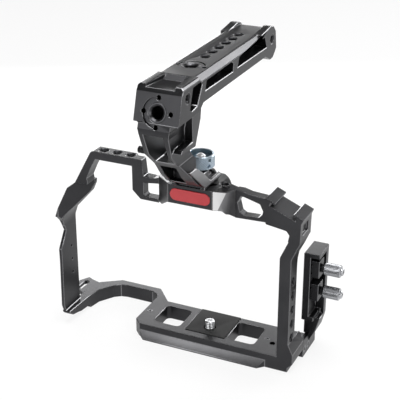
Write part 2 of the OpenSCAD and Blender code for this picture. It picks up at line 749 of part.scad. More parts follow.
// Port side upright with a column of threaded holes, leaning out under the shoe
side_back_shares = [[0, 0.75], [0.1, 0.81], [0.85, 0.9], [0.85, 1]];
module side_upright() {
    flare = side_back + shoe_l - frame_front;
    color(anodised) difference() {
        intersection() {
            along_y(-frame_front, shoe_l - frame_front) polygon([[side_in, 0], [side_in, side_bend],
                [side_in + side_lean, side_h], [side_out + side_lean, side_h], [side_out, side_bend],
                [side_out, 0]]);
            along_x(side_in, side_out + side_lean) polygon(concat([[-frame_front, 0],
                [-side_back, 0]], spread(side_back_shares, [-side_back, 0], [flare, side_h]),
                [[-frame_front, side_h]]));
        }
        for (i = [0:side_holes - 1]) {
            rod_x(tap_d, side_d / 2 - frame_front, side_hole_z + i * side_pitch, side_in - cut,
                side_out + cut);
        }
    }
}

// Bracket of the cable clamp: inner wall, cap, floor and back wall round two jaws
skirt_d_share = 0.7;
skirt_low_share = 0.33;
floor_share = 0.75;
bracket_corner_shares = [[1, 0.946], [0.93, 1]];
module cable_bracket() {
    corner = spread(bracket_corner_shares, [bracket_x, bracket_front], [bracket_w, bracket_d]);
    color(anodised_dark) difference() {
        union() {
            block([bracket_x, bracket_front, bracket_z],
                [bracket_x + bracket_wall, bracket_back, bracket_top]);
            block([bracket_x, bracket_back - bracket_back_t, bracket_z],
                [bracket_right, bracket_back, bracket_top]);
            block([bracket_x, bracket_front, bracket_top - bracket_cap],
                [bracket_right, bracket_back, bracket_top]);
            block([bracket_x, bracket_front, bracket_z],
                [bracket_x + bracket_w * floor_share, bracket_back, bracket_z + bracket_cap]);
            along_y(bracket_back - bracket_d * skirt_d_share, bracket_back) polygon([
                [bracket_x, bracket_z], [bracket_right, bracket_z],
                [bracket_x + bracket_w * floor_share, bracket_z * skirt_low_share],
                [side_out + foot_t + slide_gap, skirt_z], [bracket_x, skirt_z]]);
        }
        along_z(skirt_z, bracket_top + cut) polygon(concat(corner, [corner[1] + [0, cut],
            [bracket_right, bracket_back] + [cut, cut], corner[0] + [cut, 0]]));
        for (z = [upper_z, lower_z]) {
            rod_x(thumb_thread_d + 2 * turn_gap, thumb_y, z, bracket_x - cut,
                bracket_x + bracket_wall + cut);
        }
        block([side_out - cut, bracket_front, skirt_z - cut],
            [side_out + foot_t, bracket_back + cut, foot_top_z]);
    }
}

// Foot that carries the bracket, screwed to the plate's end
neck_share = 0.5;
head_share = 0.5;
module bracket_foot() {
    y0 = bulge_back - frame_front + slide_gap;
    color(anodised_dark) difference() {
        block([side_out, y0, -plate_t], [side_out + foot_t, bracket_back, foot_top_z]);
        for (y = foot_screw_ys) {
            rod_x(foot_screw_d, y, -plate_t / 2, side_out + foot_t * head_share,
                side_out + foot_t + cut);
            rod_x(foot_screw_d * neck_share, y, -plate_t / 2, side_out - cut, side_out + foot_t);
        }
    }
}

// Two countersunk screws through the bracket's foot
screw_socket_share = 0.75;
module foot_screws() {
    for (y = foot_screw_ys) {
        color(steel) difference() {
            union() {
                rod_x(foot_screw_d, y, -plate_t / 2, side_out + foot_t * head_share,
                    side_out + foot_t);
                rod_x(foot_screw_d * neck_share, y, -plate_t / 2, side_out, side_out + foot_t);
            }
            translate([side_out + foot_t * screw_socket_share, y, -plate_t / 2]) rotate([0, 90, 0])
                cylinder(d = foot_screw_d * neck_share, h = foot_t, $fn = 6);
        }
    }
}

// One clamp jaw: a block with a grooved inner face, bored for its thumbscrew
groove_w_share = 0.125;
groove_place_share = 0.25;
module jaw_at(z) {
    color(anodised_dark) difference() {
        block([jaw_x, jaw_y, z - jaw_h / 2], [jaw_x + jaw_w, jaw_y + jaw_d, z + jaw_h / 2]);
        rod_x(thumb_thread_d + 2 * turn_gap, thumb_y, z, jaw_x - cut, jaw_x + jaw_w + cut);
        for (side = [-1, 1]) {
            mid = z + side * jaw_h * groove_place_share;
            block([jaw_x - cut, jaw_y - cut, mid - jaw_w * groove_w_share],
                [jaw_x + jaw_w * groove_w_share, jaw_y + jaw_d + cut, mid + jaw_w * groove_w_share]);
        }
    }
}
module upper_jaw() {
    jaw_at(upper_z);
}
module lower_jaw() {
    jaw_at(lower_z);
}

// One thumbscrew: thread, collar, body and end cap
thumb_collar_share = 0.7;
thumb_cap_share = 0.6;
thumb_cap_l_share = 0.6;
thumb_socket_share = 0.25;
module thumb_at(z) {
    seat = jaw_x + jaw_w;
    body = seat + thumb_collar;
    color(steel) difference() {
        union() {
            rod_x(thumb_thread_d, thumb_y, z, bracket_x, body);
            rod_x(thumb_d * thumb_collar_share, thumb_y, z, seat, body);
            rod_x(thumb_d, thumb_y, z, body, body + thumb_l);
            rod_x(thumb_d * thumb_cap_share, thumb_y, z, body + thumb_l,
                body + thumb_l + thumb_collar * thumb_cap_l_share);
        }
        translate([body + thumb_l, thumb_y, z]) rotate([0, 90, 0])
            cylinder(d = thumb_d * thumb_socket_share, h = thumb_l, $fn = 6);
    }
}
module upper_thumbscrew() {
    thumb_at(upper_z);
}
module lower_thumbscrew() {
    thumb_at(lower_z);
}

// Grip of the handle: a pocketed bar with rear ears, a front recess and its threaded holes
grip_side_shares = [[0.05, 1], [0.94, 1], [0.98, 0.76], [0.99, 0.09], [0.978, -0.12],
    [0.95, -0.92], [0.92, -1], [0.86, 0], [0.22, 0], [0.18, -1], [0, -1]];
front_top_share = 0.76;
ear_shares = [[0.81, 1], [0.87, 1.06], [0.915, 1.12], [0.95, 1.08], [0.98, 0.8], [0.98, 0.4], [0.81, 0.4]];
pocket_front_shares = [[0.195, 0.82], [0.21, 0.71], [0.166, 0.05], [0.115, 0], [0.1, 0.1], [0.127, 0.8]];
pocket_mid_shares = [[0.25, 0.74], [0.493, 0.77], [0.513, 0.65], [0.507, 0.37], [0.236, 0.4]];
pocket_back_shares = [[0.57, 0.76], [0.855, 0.82], [0.878, 0.37], [0.553, 0.4]];
recess_shares = [[0.02, 0.9], [0.16, 0.84], [0.2, 1.1], [0.02, 1.1]];
recess_plan_shares = [[-0.68, 0], [0.68, 0], [0.44, 0.215], [-0.44, 0.215]];
side_hole_shares = [[0.08, 0.55], [0.937, 0.55]];
// A point of the grip: below its underside, heights are shares of the heels' drop
function grip_point(s) = [s[0] * grip_l - grip_front,
    grip_z + s[1] * (s[1] < 0 ? heel_drop : grip_tall)];
function front_face_y(z) = (z - grip_low) * tan(front_tilt) - grip_front;
module grip_points(shares) {
    polygon([for (s = shares) grip_point(s)]);
}
module grip_side() {
    top = grip_z + front_top_share * grip_tall;
    polygon(concat([for (s = grip_side_shares) grip_point(s)], [[front_face_y(top), top]]));
}
module at_front_hole() {
    translate([0, front_face_y(grip_z + locate_up), grip_z + locate_up])
        rotate([90 - front_tilt, 0, 0]) children();
}
module at_top_hole() {
    translate([0, -locate_y, grip_top]) children();
}
module locating_cut(angles, arc) {
    translate([0, 0, -insert_t]) cylinder(d = insert_d, h = insert_t + cut, $fn = fine);
    translate([0, 0, -locate_depth]) cylinder(d = insert_tap_d, h = locate_depth, $fn = fine);
    for (a = angles) {
        rotate([0, 0, a]) translate([locate_r, 0, -insert_t]) cylinder(d = locate_pin_d,
            h = insert_t + cut, $fn = fine);
    }
    translate([0, 0, -arc_w]) rotate([0, 0, arc[0]]) rotate_extrude(angle = arc[1] - arc[0],
        $fn = arc_fine) translate([arc_r - arc_w / 2, 0]) square([arc_w, arc_w + cut]);
}
module grip_section(flat, drop) {
    polygon([[-grip_half, grip_low - cut], [grip_half, grip_low - cut],
        [grip_half, grip_top - drop], [flat, grip_top], [-flat, grip_top],
        [-grip_half, grip_top - drop]]);
}
module front_cut() {
    locating_cut(front_pin_angles, front_arc);
}
module handle_grip() {
    web = grip_web / 2;
    color(anodised) difference() {
        union() {
            intersection() {
                along_x(-grip_half, grip_half) grip_side();
                union() {
                    along_y(-grip_front, -nose_back) grip_section(nose_flat, nose_cut);
                    along_y(-nose_back, grip_back_y) grip_section(grip_flat, grip_cut);
                }
            }
            along_x(grip_half - ear_w, grip_half) grip_points(ear_shares);
            along_x(-grip_half, ear_w - grip_half) grip_points(ear_shares);
        }
        for (shares = [pocket_front_shares, pocket_mid_shares, pocket_back_shares]) {
            along_x(web, grip_half + cut) grip_points(shares);
            along_x(-grip_half - cut, -web) grip_points(shares);
        }
        intersection() {
            along_x(-grip_flat, grip_flat) grip_points(recess_shares);
            along_z(grip_z, grip_top + cut) polygon(spread(recess_plan_shares, [0, -grip_front],
                [grip_half, grip_l]));
        }
        for (i = [0:grip_holes - 1]) {
            rod_z(tap_d, 0, i * grip_pitch - grip_hole_y, grip_z - cut, grip_top + cut);
        }
        for (s = side_hole_shares) {
            rod_x(tap_d, grip_point(s)[0], grip_point(s)[1], -grip_half - cut, grip_half + cut);
        }
        at_top_hole() locating_cut(top_pin_angles, top_arc);
        at_front_hole() front_cut();
    }
}

// Steel thread inserts of the two locating holes, countersunk at their mouths
module insert() {
    translate([0, 0, -insert_t]) difference() {
        cylinder(d = insert_d, h = insert_t, $fn = fine);
        translate([0, 0, -cut]) cylinder(d = insert_tap_d, h = insert_t + 2 * cut, $fn = fine);
        translate([0, 0, insert_t - arc_w]) cylinder(d1 = insert_tap_d, d2 = insert_tap_d + 2 * arc_w,
            h = arc_w, $fn = fine);
    }
}
module thread_inserts() {
    color(steel) at_top_hole() insert();
    color(steel) at_front_hole() insert();
}

// Leg of the handle: a wall and a rib round an arch, a crossbar, and a flange with a ledge on the right
leg_front_shares = [[1, 0.915], [1.026, 0.839], [1.005, 0.775], [0.919, 0.614], [0.831, 0.458],
    [0.55, 0.249], [0.36, 0.041], [0.19, -0.093], [-0, -0.19], [-0, 0]];
leg_back_shares = [[-0.029, 0], [-0.029, 0.148], [0.119, 0.272], [0.35, 0.48], [0.248, 0.812],
    [0.252, 1.021], [0.962, 1.021]];
leg_flange_shares = [[0.548, 1.021], [0.519, 0.833], [0.462, 0.577], [0.786, 0.565], [0.829, 0.52],
    [0.357, 0.48], [0.248, 0.812], [0.252, 1.021]];
leg_taper_shares = [[0.28, 0.474], [0.839, 0.474], [0.965, 1], [0.965, 1.031], [0.28, 1.031]];
front_pocket_shares = [[1.119, 0.759], [0.405, 0.759], [0.119, 0.66], [0.119, 0.371],
    [0.381, 0.313], [1.119, 0.313]];
low_pocket_shares = [[0.643, 0.219], [0.405, 0.214], [0.167, 0.113], [0.071, 0], [0.071, -0.095],
    [0.405, -0.095]];
leg_side_shares = [[0, -0.25], [1, -0.25], [1, 0.062], [0.778, 0.274], [0.818, 0.466], [0.845, 0.602],
    [0.868, 0.74], [0.945, 0.862], [0.945, 1.04], [0, 1.04]];
leg_corner_shares = [[0.385, -0.111], [0.827, 0.389], [1.01, 0.611], [1.15, 0.611], [1.15, -0.111]];
leg_corner_h_share = 0.3;
module leg_points(shares) {
    polygon(spread(shares, [-foot_front, foot_top], [-leg_sweep, leg_h]));
}
module handle_leg() {
    color(anodised) difference() {
        union() {
            intersection() {
                along_x(-leg_left, leg_right) leg_points(concat(leg_front_shares, leg_back_shares));
                along_y(-grip_front - cut, 0) polygon(spread(leg_side_shares, [-leg_left, foot_top],
                    [leg_left + leg_right, leg_h]));
            }
            intersection() {
                along_x(rib_left, grip_half) leg_points(leg_flange_shares);
                along_y(-grip_front, 0) polygon(spread(leg_taper_shares, [0, foot_top],
                    [grip_half, leg_h]));
            }
        }
        along_x(-grip_half - cut, grip_half + cut) grip_side();
        at_front_hole() front_cut();
        along_z(foot_top, foot_top + leg_h * leg_corner_h_share) polygon(spread(leg_corner_shares,
            [0, -foot_front], [leg_right, -foot_l]));
        along_x(leg_wall - leg_left, rib_left) leg_points(front_pocket_shares);
        along_x(leg_wall - leg_left, low_right) leg_points(low_pocket_shares);
        guide_rods(guide_d + 2 * turn_gap, leg_right - 2 * leg_wall, leg_right + cut);
    }
}

// Small boss on the leg's left side
boss_shares = [[0.79, 0.491]];
module leg_boss() {
    place = spread(boss_shares, [-foot_front, foot_top], [-leg_sweep, leg_h])[0];
    color(steel) rod_x(boss_d, place[0], place[1], -leg_left - boss_l, -leg_left);
}

// Foot of the handle: a cap over the rail with the fixed jaw on its left side
foot_plan_shares = [[0, 0], [1, 0], [1, 0.4], [0.76, 1], [0, 1]];
module handle_foot() {
    color(anodised_dark) difference() {
        along_z(block_top + slide_gap, foot_top) polygon(spread(foot_plan_shares,
            [-leg_left, -foot_front], [leg_left + leg_right, foot_l]));
        translate([0, 0, block_top]) along_y(-foot_front - cut, cut) rail_outline(slide_gap);
        block([jaw_in, -foot_front - cut, block_top],
            [leg_right, cut, block_top + rail_h + slide_gap]);
        rod_z(stud_d, knob_x, -knob_y, block_top, foot_top + cut);
    }
}

// Movable jaw: a side plate that rises along the leg and hooks under the rail's right lip
jaw_face_shares = [[-1.041, 1.835], [-0.64, 1.817], [-0.144, 1.148], [0.216, 0.53],
    [0.315, 0.426], [0.946, 0.426], [1, 0.243], [-0.081, 0.278]];
pin_depth_share = 0.5;
module clamp_jaw() {
    face_x = leg_right + slide_gap;
    color(bare_grey) difference() {
        union() {
            block([jaw_in + slide_gap, slide_gap - foot_front, block_top + slide_gap],
                [face_x, jaw_l - foot_front, block_top + slide_gap + jaw_block_h]);
            along_x(face_x, face_x + jaw_plate_t) polygon(spread(jaw_face_shares,
                [-foot_front, block_top], [jaw_l, foot_top - block_top]));
        }
        translate([0, 0, block_top]) along_y(-foot_front - cut, cut) rail_outline(slide_gap);
        guide_rods(guide_d, face_x - cut, face_x + jaw_plate_t * pin_depth_share);
    }
}

// Knurled knob with a hollow top
module clamp_knob() {
    z0 = foot_top + slide_gap;
    color(knob_steel) difference() {
        rod_z(knob_d, knob_x, -knob_y, z0, z0 + knob_h);
        rod_z(knob_d - 2 * knob_wall, knob_x, -knob_y, z0 + knob_h - knob_hollow, z0 + knob_h + cut);
        rod_z(stud_d + 2 * turn_gap, knob_x, -knob_y, z0 - cut, z0 + knob_h);
    }
}

// Stud that the knob turns on, with its bright head
stud_top_share = 0.5;
module clamp_stud() {
    z0 = foot_top + slide_gap;
    top = z0 + knob_h - knob_hollow;
    color(steel) union() {
        rod_z(stud_d, knob_x, -knob_y, block_top + rail_h + slide_gap, top + slide_gap);
        rod_z(stud_head_d, knob_x, -knob_y, top + slide_gap, top + knob_hollow * stud_top_share);
    }
}

// Guide pins of the movable jaw, which slide in the leg's right wall
module guide_rods(d, from, to) {
    rod_x(d, -guide_y, guide_z, from, to);
    rod_x(d, guide_dy - guide_y, guide_z - guide_dz, from, to);
}
module jaw_guide_pins() {
    color(steel) guide_rods(guide_d, leg_right - leg_wall,
        leg_right + slide_gap + jaw_plate_t * pin_depth_share);
}

base_plate();
grip_arm();
grip_upright();
grip_shoulder();
top_bar();
front_bridge();
centre_block();
top_rail();
shoulder_wing();
cold_shoe();
side_upright();
base_pad();
name_plate();
base_set_screws();
camera_screw();
cable_bracket();
bracket_foot();
foot_screws();
upper_jaw();
lower_jaw();
upper_thumbscrew();
lower_thumbscrew();
handle_grip();
handle_leg();
handle_foot();
clamp_jaw();
clamp_knob();
clamp_stud();
jaw_guide_pins();
thread_inserts();
leg_boss();
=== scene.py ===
# Camera cage with a clamped top handle and a cable clamp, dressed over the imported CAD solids.
import math
import bmesh
import bpy
from mathutils import Matrix, Vector


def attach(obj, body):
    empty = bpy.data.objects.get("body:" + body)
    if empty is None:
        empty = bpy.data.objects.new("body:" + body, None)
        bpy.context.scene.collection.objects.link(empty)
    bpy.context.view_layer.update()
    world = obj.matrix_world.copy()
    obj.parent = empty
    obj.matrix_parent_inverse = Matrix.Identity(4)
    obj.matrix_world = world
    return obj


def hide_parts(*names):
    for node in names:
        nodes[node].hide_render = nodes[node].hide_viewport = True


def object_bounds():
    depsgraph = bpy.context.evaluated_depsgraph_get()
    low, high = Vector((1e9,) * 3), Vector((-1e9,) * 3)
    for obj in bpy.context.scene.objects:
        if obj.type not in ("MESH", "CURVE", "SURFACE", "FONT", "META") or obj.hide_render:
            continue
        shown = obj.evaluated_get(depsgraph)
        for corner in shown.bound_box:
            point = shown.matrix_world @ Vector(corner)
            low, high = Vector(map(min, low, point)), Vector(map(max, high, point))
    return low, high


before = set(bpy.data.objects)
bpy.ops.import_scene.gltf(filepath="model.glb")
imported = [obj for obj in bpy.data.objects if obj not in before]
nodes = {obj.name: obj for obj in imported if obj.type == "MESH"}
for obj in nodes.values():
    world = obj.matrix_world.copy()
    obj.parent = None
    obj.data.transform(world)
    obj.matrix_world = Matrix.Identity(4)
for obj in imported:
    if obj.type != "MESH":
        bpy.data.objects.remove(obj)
cad_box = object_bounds()

# Camera: the photograph is taken from the front right and above with a long lens.
# Its place in metres, and the direction back to it, were solved from the straight edges of the frame.
camera_place = Vector((0.25716, -0.57502, 0.38472))
camera_back = Vector((0.3797, -0.8254, 0.4179))
lens_mm, film_mm = 97.3, 36
nearest, farthest = 0.01, 50
camera = bpy.data.objects.new("camera", bpy.data.cameras.new("camera"))
camera.location = camera_place
camera.rotation_euler = (-camera_back).to_track_quat("-Z", "Y").to_euler()
camera.data.lens = lens_mm
camera.data.sensor_width = film_mm
camera.data.clip_start = nearest
camera.data.clip_end = farthest
bpy.context.collection.objects.link(camera)
bpy.context.scene.camera = camera


# Frame: anodised aluminium, milled from one billet, bead blasted and dyed dark grey.
# The blasting leaves a fine satin grain; the edges are chamfered after it and catch the light.
# Their lighter colour is partly bare cut metal and partly a painted highlight.
# Accessories screw into its threaded holes, whose mouths are countersunk.
MM = 0.001


def srgb(text):
    """Linear colour of an sRGB hex value."""
    parts = [int(text[i:i + 2], 16) / 255 for i in (1, 3, 5)]
    return [c / 12.92 if c <= 0.04045 else ((c + 0.055) / 1.055) ** 2.4 for c in parts] + [1.0]


def add(tree, kind, settings, links):
    """Adds a node; settings are its properties or sockets, links are socket: other node's socket."""
    node = tree.nodes.new(kind)
    for key, value in settings.items():
        if isinstance(key, int) or key in node.inputs:
            node.inputs[key].default_value = value
        else:
            setattr(node, key, value)
    for key, source in links.items():
        tree.links.new(source, node.inputs[key])
    return node


def new_material(name):
    """An empty material and its node tree."""
    material = bpy.data.materials.new(name)
    material.use_nodes = True
    material.node_tree.nodes.clear()
    return material, material.node_tree


def worked_surface(name, dark, light, metallic, roughness, grain_mm, bump_mm, lit=None, band=None):
    """Two near shades mottled by the blasting, cutting or moulding, with the surface's grain as bump.
    lit, a painted highlight, is a lighter shade laid where band, a (slope, start, softness) line in x over
    z, holds."""
    cloud_mm, grain_share, darkest, lightest = 18, 0.55, 0.5, 1.05
    smoother, rougher, bump_strength = 0.05, 0.08, 0.35
    material, tree = new_material(name)
    place = add(tree, "ShaderNodeTexCoord", {}, {})
    grain = add(tree, "ShaderNodeTexNoise", {"Scale": 1 / (grain_mm * MM), "Detail": 3.0,
        "Roughness": 0.6}, {"Vector": place.outputs["Object"]})
    cloud = add(tree, "ShaderNodeTexNoise", {"Scale": 1 / (cloud_mm * MM), "Detail": 2.0},
        {"Vector": place.outputs["Object"]})
    shade = add(tree, "ShaderNodeMath", {"operation": "MULTIPLY_ADD", 1: grain_share},
        {0: grain.outputs["Fac"], 2: cloud.outputs["Fac"]})
    limit = add(tree, "ShaderNodeMapRange", {"From Min": darkest, "From Max": lightest},
        {"Value": shade.outputs[0]})
    colour = add(tree, "ShaderNodeMix", {"data_type": "RGBA", 6: srgb(dark), 7: srgb(light)},
        {"Factor": limit.outputs[0]})
    if lit:
        slope, start_mm, soft_mm = band
        parts = add(tree, "ShaderNodeSeparateXYZ", {}, {"Vector": place.outputs["Object"]})
        line = add(tree, "ShaderNodeMath", {"operation": "MULTIPLY_ADD", 1: slope, 2: start_mm * MM},
            {0: parts.outputs["Z"]})
        past = add(tree, "ShaderNodeMath", {"operation": "SUBTRACT"},
            {0: line.outputs[0], 1: parts.outputs["X"]})
        share = add(tree, "ShaderNodeMapRange", {"From Min": -soft_mm * MM, "From Max": soft_mm * MM},
            {"Value": past.outputs[0]})
        colour = add(tree, "ShaderNodeMix", {"data_type": "RGBA", 7: srgb(lit)},
            {"Factor": share.outputs[0], 6: colour.outputs[2]})
    rough = add(tree, "ShaderNodeMapRange", {"To Min": roughness - smoother, "To Max": roughness + rougher},
        {"Value": grain.outputs["Fac"]})
    bump = add(tree, "ShaderNodeBump", {"Strength": bump_strength, "Distance": bump_mm * MM},
        {"Height": grain.outputs["Fac"]})
    shader = add(tree, "ShaderNodeBsdfPrincipled", {"Metallic": metallic},
        {"Base Color": colour.outputs[2], "Roughness": rough.outputs[0], "Normal": bump.outputs["Normal"]})
    add(tree, "ShaderNodeOutputMaterial", {}, {"Surface": shader.outputs["BSDF"]})
    return material


# A real blasted grain is about a tenth of a millimetre; it is drawn coarser, at 0.35 mm, for close views.
# The chamfers are lighter and glossier than the blasted faces, partly bare metal and partly painted
# highlight.
# The centre block's right flank is a painted reflection with a painted highlight band, and a few faces
# where the light falls are lighter and glossier too: painted highlight.
anodised = worked_surface("anodised_aluminium_blasted", "#343436", "#3e3e40", 0.88, 0.36, 0.35, 0.02)
chamfer = worked_surface("anodised_aluminium_chamfer_painted_highlight", "#6a6a6c", "#767678", 0.95, 0.26, 0.5, 0.01)
# Painted reflection: the flank is drawn lighter, with a painted highlight band across part of it.
painted_flank_reflection = worked_surface("anodised_aluminium_painted_reflection", "#828284", "#8e8e90", 0.95, 0.32, 0.4, 0.01,
    "#dededf", (0.35, -18.6, 0.12))
# Painted highlight: a lighter copy of the finish for faces that the light falls on.
painted_face_highlight = worked_surface("anodised_aluminium_painted_highlight", "#6a6a6c", "#747476", 0.95, 0.34, 0.35, 0.01)


def boolean(piece, kind, other):
    """Sets another mesh to be joined to a piece or taken out of it."""
    step = piece.modifiers.new(kind.lower(), "BOOLEAN")
    step.operation = kind
    step.solver = "EXACT"
    step.object = other


def settle(piece):
    """Works a piece's modifiers into its mesh."""
    mesh = bpy.data.meshes.new_from_object(piece.evaluated_get(bpy.context.evaluated_depsgraph_get()))
    piece.modifiers.clear()
    piece.data = mesh


def joined(name, members, cutters=()):
    """One closed mesh from touching CAD solids, less the cutters."""
    weld_mm = 0.002
    copies = []
    for member in members:
        copy = bpy.data.objects.new(name + "_" + member, nodes[member].data.copy())
        bpy.context.collection.objects.link(copy)
        grid = bmesh.new()
        grid.from_mesh(copy.data)
        bmesh.ops.remove_doubles(grid, verts=grid.verts, dist=weld_mm * MM)
        grid.to_mesh(copy.data)
        grid.free()
        copy.data.materials.clear()
        copies.append(copy)
    first = copies[0]
    for other in copies[1:]:
        boolean(first, "UNION", other)
    for cutter in cutters:
        boolean(first, "DIFFERENCE", cutter)
    settle(first)
    piece = bpy.data.objects.new(name, first.data)
    bpy.context.collection.objects.link(piece)
    for item in copies + list(cutters):
        bpy.data.objects.remove(item)
    return piece


def smooth(mesh, crease_degrees):
    """Shades a mesh as round, apart from creases sharper than this."""
    for face in mesh.polygons:
        face.use_smooth = True
    mesh.set_sharp_from_angle(angle=math.radians(crease_degrees))


def turned(name, profile, sides, place=Matrix(), relief=None, material=None):
    """A turned mesh about Z from (radius, height) points in mm, closed at the axis or as a ring.
    relief(angle, radius, height) is added to the radius; place puts it in the frame."""
    grid = bmesh.new()
    rings = []
    for radius, height in profile:
        if radius == 0:
            rings.append([grid.verts.new((0, 0, height * MM))])
            continue
        ring = []
        for i in range(sides):
            angle = 2 * math.pi * i / sides
            r = radius + (relief(angle, radius, height) if relief else 0)
            ring.append(grid.verts.new((r * math.cos(angle) * MM, r * math.sin(angle) * MM, height * MM)))
        rings.append(ring)
    pairs = list(zip(rings, rings[1:]))
    if len(rings[0]) > 1:
        pairs.append((rings[-1], rings[0]))
    for low, high in pairs:
        for i in range(sides):
            j = (i + 1) % sides
            corners = [low[i % len(low)], low[j % len(low)], high[j % len(high)], high[i % len(high)]]
            grid.faces.new(list(dict.fromkeys(corners)))
    bmesh.ops.recalc_face_normals(grid, faces=grid.faces)
    mesh = bpy.data.meshes.new(name)
    grid.to_mesh(mesh)
    grid.free()
    mesh.transform(place)
    smooth(mesh, 32)
    if material:
        mesh.materials.append(material)
    piece = bpy.data.objects.new(name, mesh)
    bpy.context.collection.objects.link(piece)
    return piece


def gathered(name, pieces):
    """Puts several meshes of one material, or of none, into one object."""
    grid = bmesh.new()
    for piece in pieces:
        grid.from_mesh(piece.data)
    mesh = bpy.data.meshes.new(name)
    grid.to_mesh(mesh)
    grid.free()
    for material in pieces[0].data.materials:
        mesh.materials.append(material)
    for piece in pieces:
        bpy.data.objects.remove(piece)
    whole = bpy.data.objects.new(name, mesh)
    bpy.context.collection.objects.link(whole)
    return whole


def along(x, y, z, direction=(0, 0, 1)):
    """Places a turned piece in mm with its axis along a direction."""
    turn = Vector(direction).to_track_quat("Z", "Y").to_matrix().to_4x4()
    return Matrix.Translation((x * MM, y * MM, z * MM)) @ turn


def clean(piece):
    """Merges doubled points and dissolves the edges inside flat faces."""
    weld_mm, flat_degrees = 0.01, 1.0
    grid = bmesh.new()
    grid.from_mesh(piece.data)
    bmesh.ops.remove_doubles(grid, verts=grid.verts, dist=weld_mm * MM)
    bmesh.ops.dissolve_limit(grid, angle_limit=math.radians(flat_degrees), verts=grid.verts,
        edges=grid.edges, delimit={"MATERIAL"})
    bmesh.ops.recalc_face_normals(grid, faces=grid.faces)
    grid.to_mesh(piece.data)
    grid.free()


def finish_faces(piece, finishes, pick):
    """Gives a piece its finishes; pick(x, y, z, normal), in mm, says which of them a face has."""
    piece.data.materials.clear()
    for finish in finishes:
        piece.data.materials.append(finish)
    for face in piece.data.polygons:
        x, y, z = [c / MM for c in face.center]
        face.material_index = finishes.index(pick(x, y, z, face.normal))


def break_edges(piece, width_mm, edge_material, segments=1, fine=0.35):
    """Chamfers the sharp edges in a finish of their own.
    Short edges, such as those of round holes, get only the share fine of the width."""
    sharp_degrees, short_mm = 24, 1.3
    piece.data.materials.append(edge_material)
    grid = bmesh.new()
    grid.from_mesh(piece.data)
    weight = grid.edges.layers.float.new("bevel_weight_edge")
    for edge in grid.edges:
        if len(edge.link_faces) == 2 and edge.calc_face_angle(0) > math.radians(sharp_degrees):
            edge[weight] = 1.0 if edge.calc_length() > short_mm * MM else fine
    grid.to_mesh(piece.data)
    grid.free()
    bevel = piece.modifiers.new("edges", "BEVEL")
    bevel.width = width_mm * MM
    bevel.segments = segments
    bevel.limit_method = "WEIGHT"
    bevel.material = len(piece.data.materials) - 1
    bevel.use_clamp_overlap = False
    bevel.miter_outer = "MITER_SHARP"
    settle(piece)
    smooth(piece.data, 18)
    return piece


def steps(radius, low, high, step):
    """Points up a straight wall, close enough to carry a thread or a knurl."""
    count = max(1, round((high - low) / step))
    return [(radius, low + (high - low) * i / count) for i in range(count + 1)]


def helix(angle, height, pitch_mm):
    """Runs from 0 on a thread's crest to 1 in the groove between its turns."""
    wave = (height / pitch_mm - angle / (2 * math.pi)) % 1.0
    return abs(2 * wave - 1)


def inner_thread(bore_r, pitch_mm, depth_mm):
    """The relief of a threaded bore: its turns stand in from the wall."""
    def relief(angle, radius, height):
        return 0 if radius > bore_r else -depth_mm * (1 - helix(angle, height, pitch_mm))
    return relief


# A quarter inch thread has 20 turns to the inch, 1.27 mm each.
quarter_bore_r, quarter_pitch = 2.6, 1.27


def tapped(name, holes, body, material):
    """Quarter inch thread turns in bores (x, y, z, direction, length), each a ring let into the wall."""
    bare_end, ring_t, clear, depth = 0.5, 0.5, 0.02, 0.34
    relief = inner_thread(quarter_bore_r, quarter_pitch, depth)
    rings = []
    for x, y, z, direction, length in holes:
        top = length - bare_end
        profile = steps(quarter_bore_r - clear, bare_end, top, quarter_pitch / 6)
        profile += [(quarter_bore_r + ring_t, top), (quarter_bore_r + ring_t, bare_end)]
        rings.append(turned(name + "_ring", profile, 32, along(x, y, z, direction), relief, material))
    threads = gathered(name, rings)
    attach(threads, body)
    return threads


def countersink(x, y, z, direction):
    """A cutter for a hole's mouth: a cone from inside the bore to just above the face."""
    mouth_r, inside, above = 3.5, 0.3, 0.2
    deep = mouth_r - quarter_bore_r + inside
    return turned("countersink", [(0, -deep), (quarter_bore_r - inside, -deep), (mouth_r, 0),
        (mouth_r + above, above), (0, above)], 48, along(x, y, z, direction))


def framed(name, members, mouths, finishes, pick):
    """Sections milled from one piece, countersunk at the mouths of their holes and chamfered."""
    chamfer_mm = 0.35
    piece = joined(name, members, [gathered("mouths", [countersink(*m) for m in mouths])])
    clean(piece)
    finish_faces(piece, finishes, pick)
    return break_edges(piece, chamfer_mm, chamfer)


def cage_finish(x, y, z, normal):
    """The centre block's right flank gets a painted reflection; the slope along the base's front edge a
    painted highlight.
    """
    if 15 < x < 24 and -31.2 < y < -15 and 94 < z < 117 and normal.x > 0.3 > abs(normal.z):
        return painted_flank_reflection
    return painted_face_highlight if y < -15 and -9 < z < -4 and normal.y < -0.5 and normal.z > 0.3 else anodised


up, down, right, left = (0, 0, 1), (0, 0, -1), (1, 0, 0), (-1, 0, 0)
bar_xs, bar_y, bar_bottom, bar_top = [-70.8, -61.05, -51.3], -10.4, 115.9, 121.3
side_zs, side_y, side_inner, side_outer = [13.7, 24.0, 34.3, 44.6, 54.9], -9.4, 53.9, 61.7
block_x, block_y, block_bottom, block_top = 17.4, -16.6, 103.5, 116.5
mouths = [(x, bar_y, bar_top, up) for x in bar_xs] + [(x, bar_y, bar_bottom, down) for x in bar_xs]
mouths += [(side_outer, side_y, z, right) for z in side_zs]
mouths += [(side_inner, side_y, z, left) for z in side_zs]
mouths.append((block_x, block_y, block_top, up))
frame_nodes = ["base_plate", "grip_arm", "grip_upright", "grip_shoulder", "top_bar", "front_bridge",
    "centre_block", "top_rail", "shoulder_wing", "cold_shoe", "side_upright"]
cage = framed("cage_frame", frame_nodes, mouths, [anodised, painted_flank_reflection, painted_face_highlight], cage_finish)
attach(cage, "cage")
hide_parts(*frame_nodes)
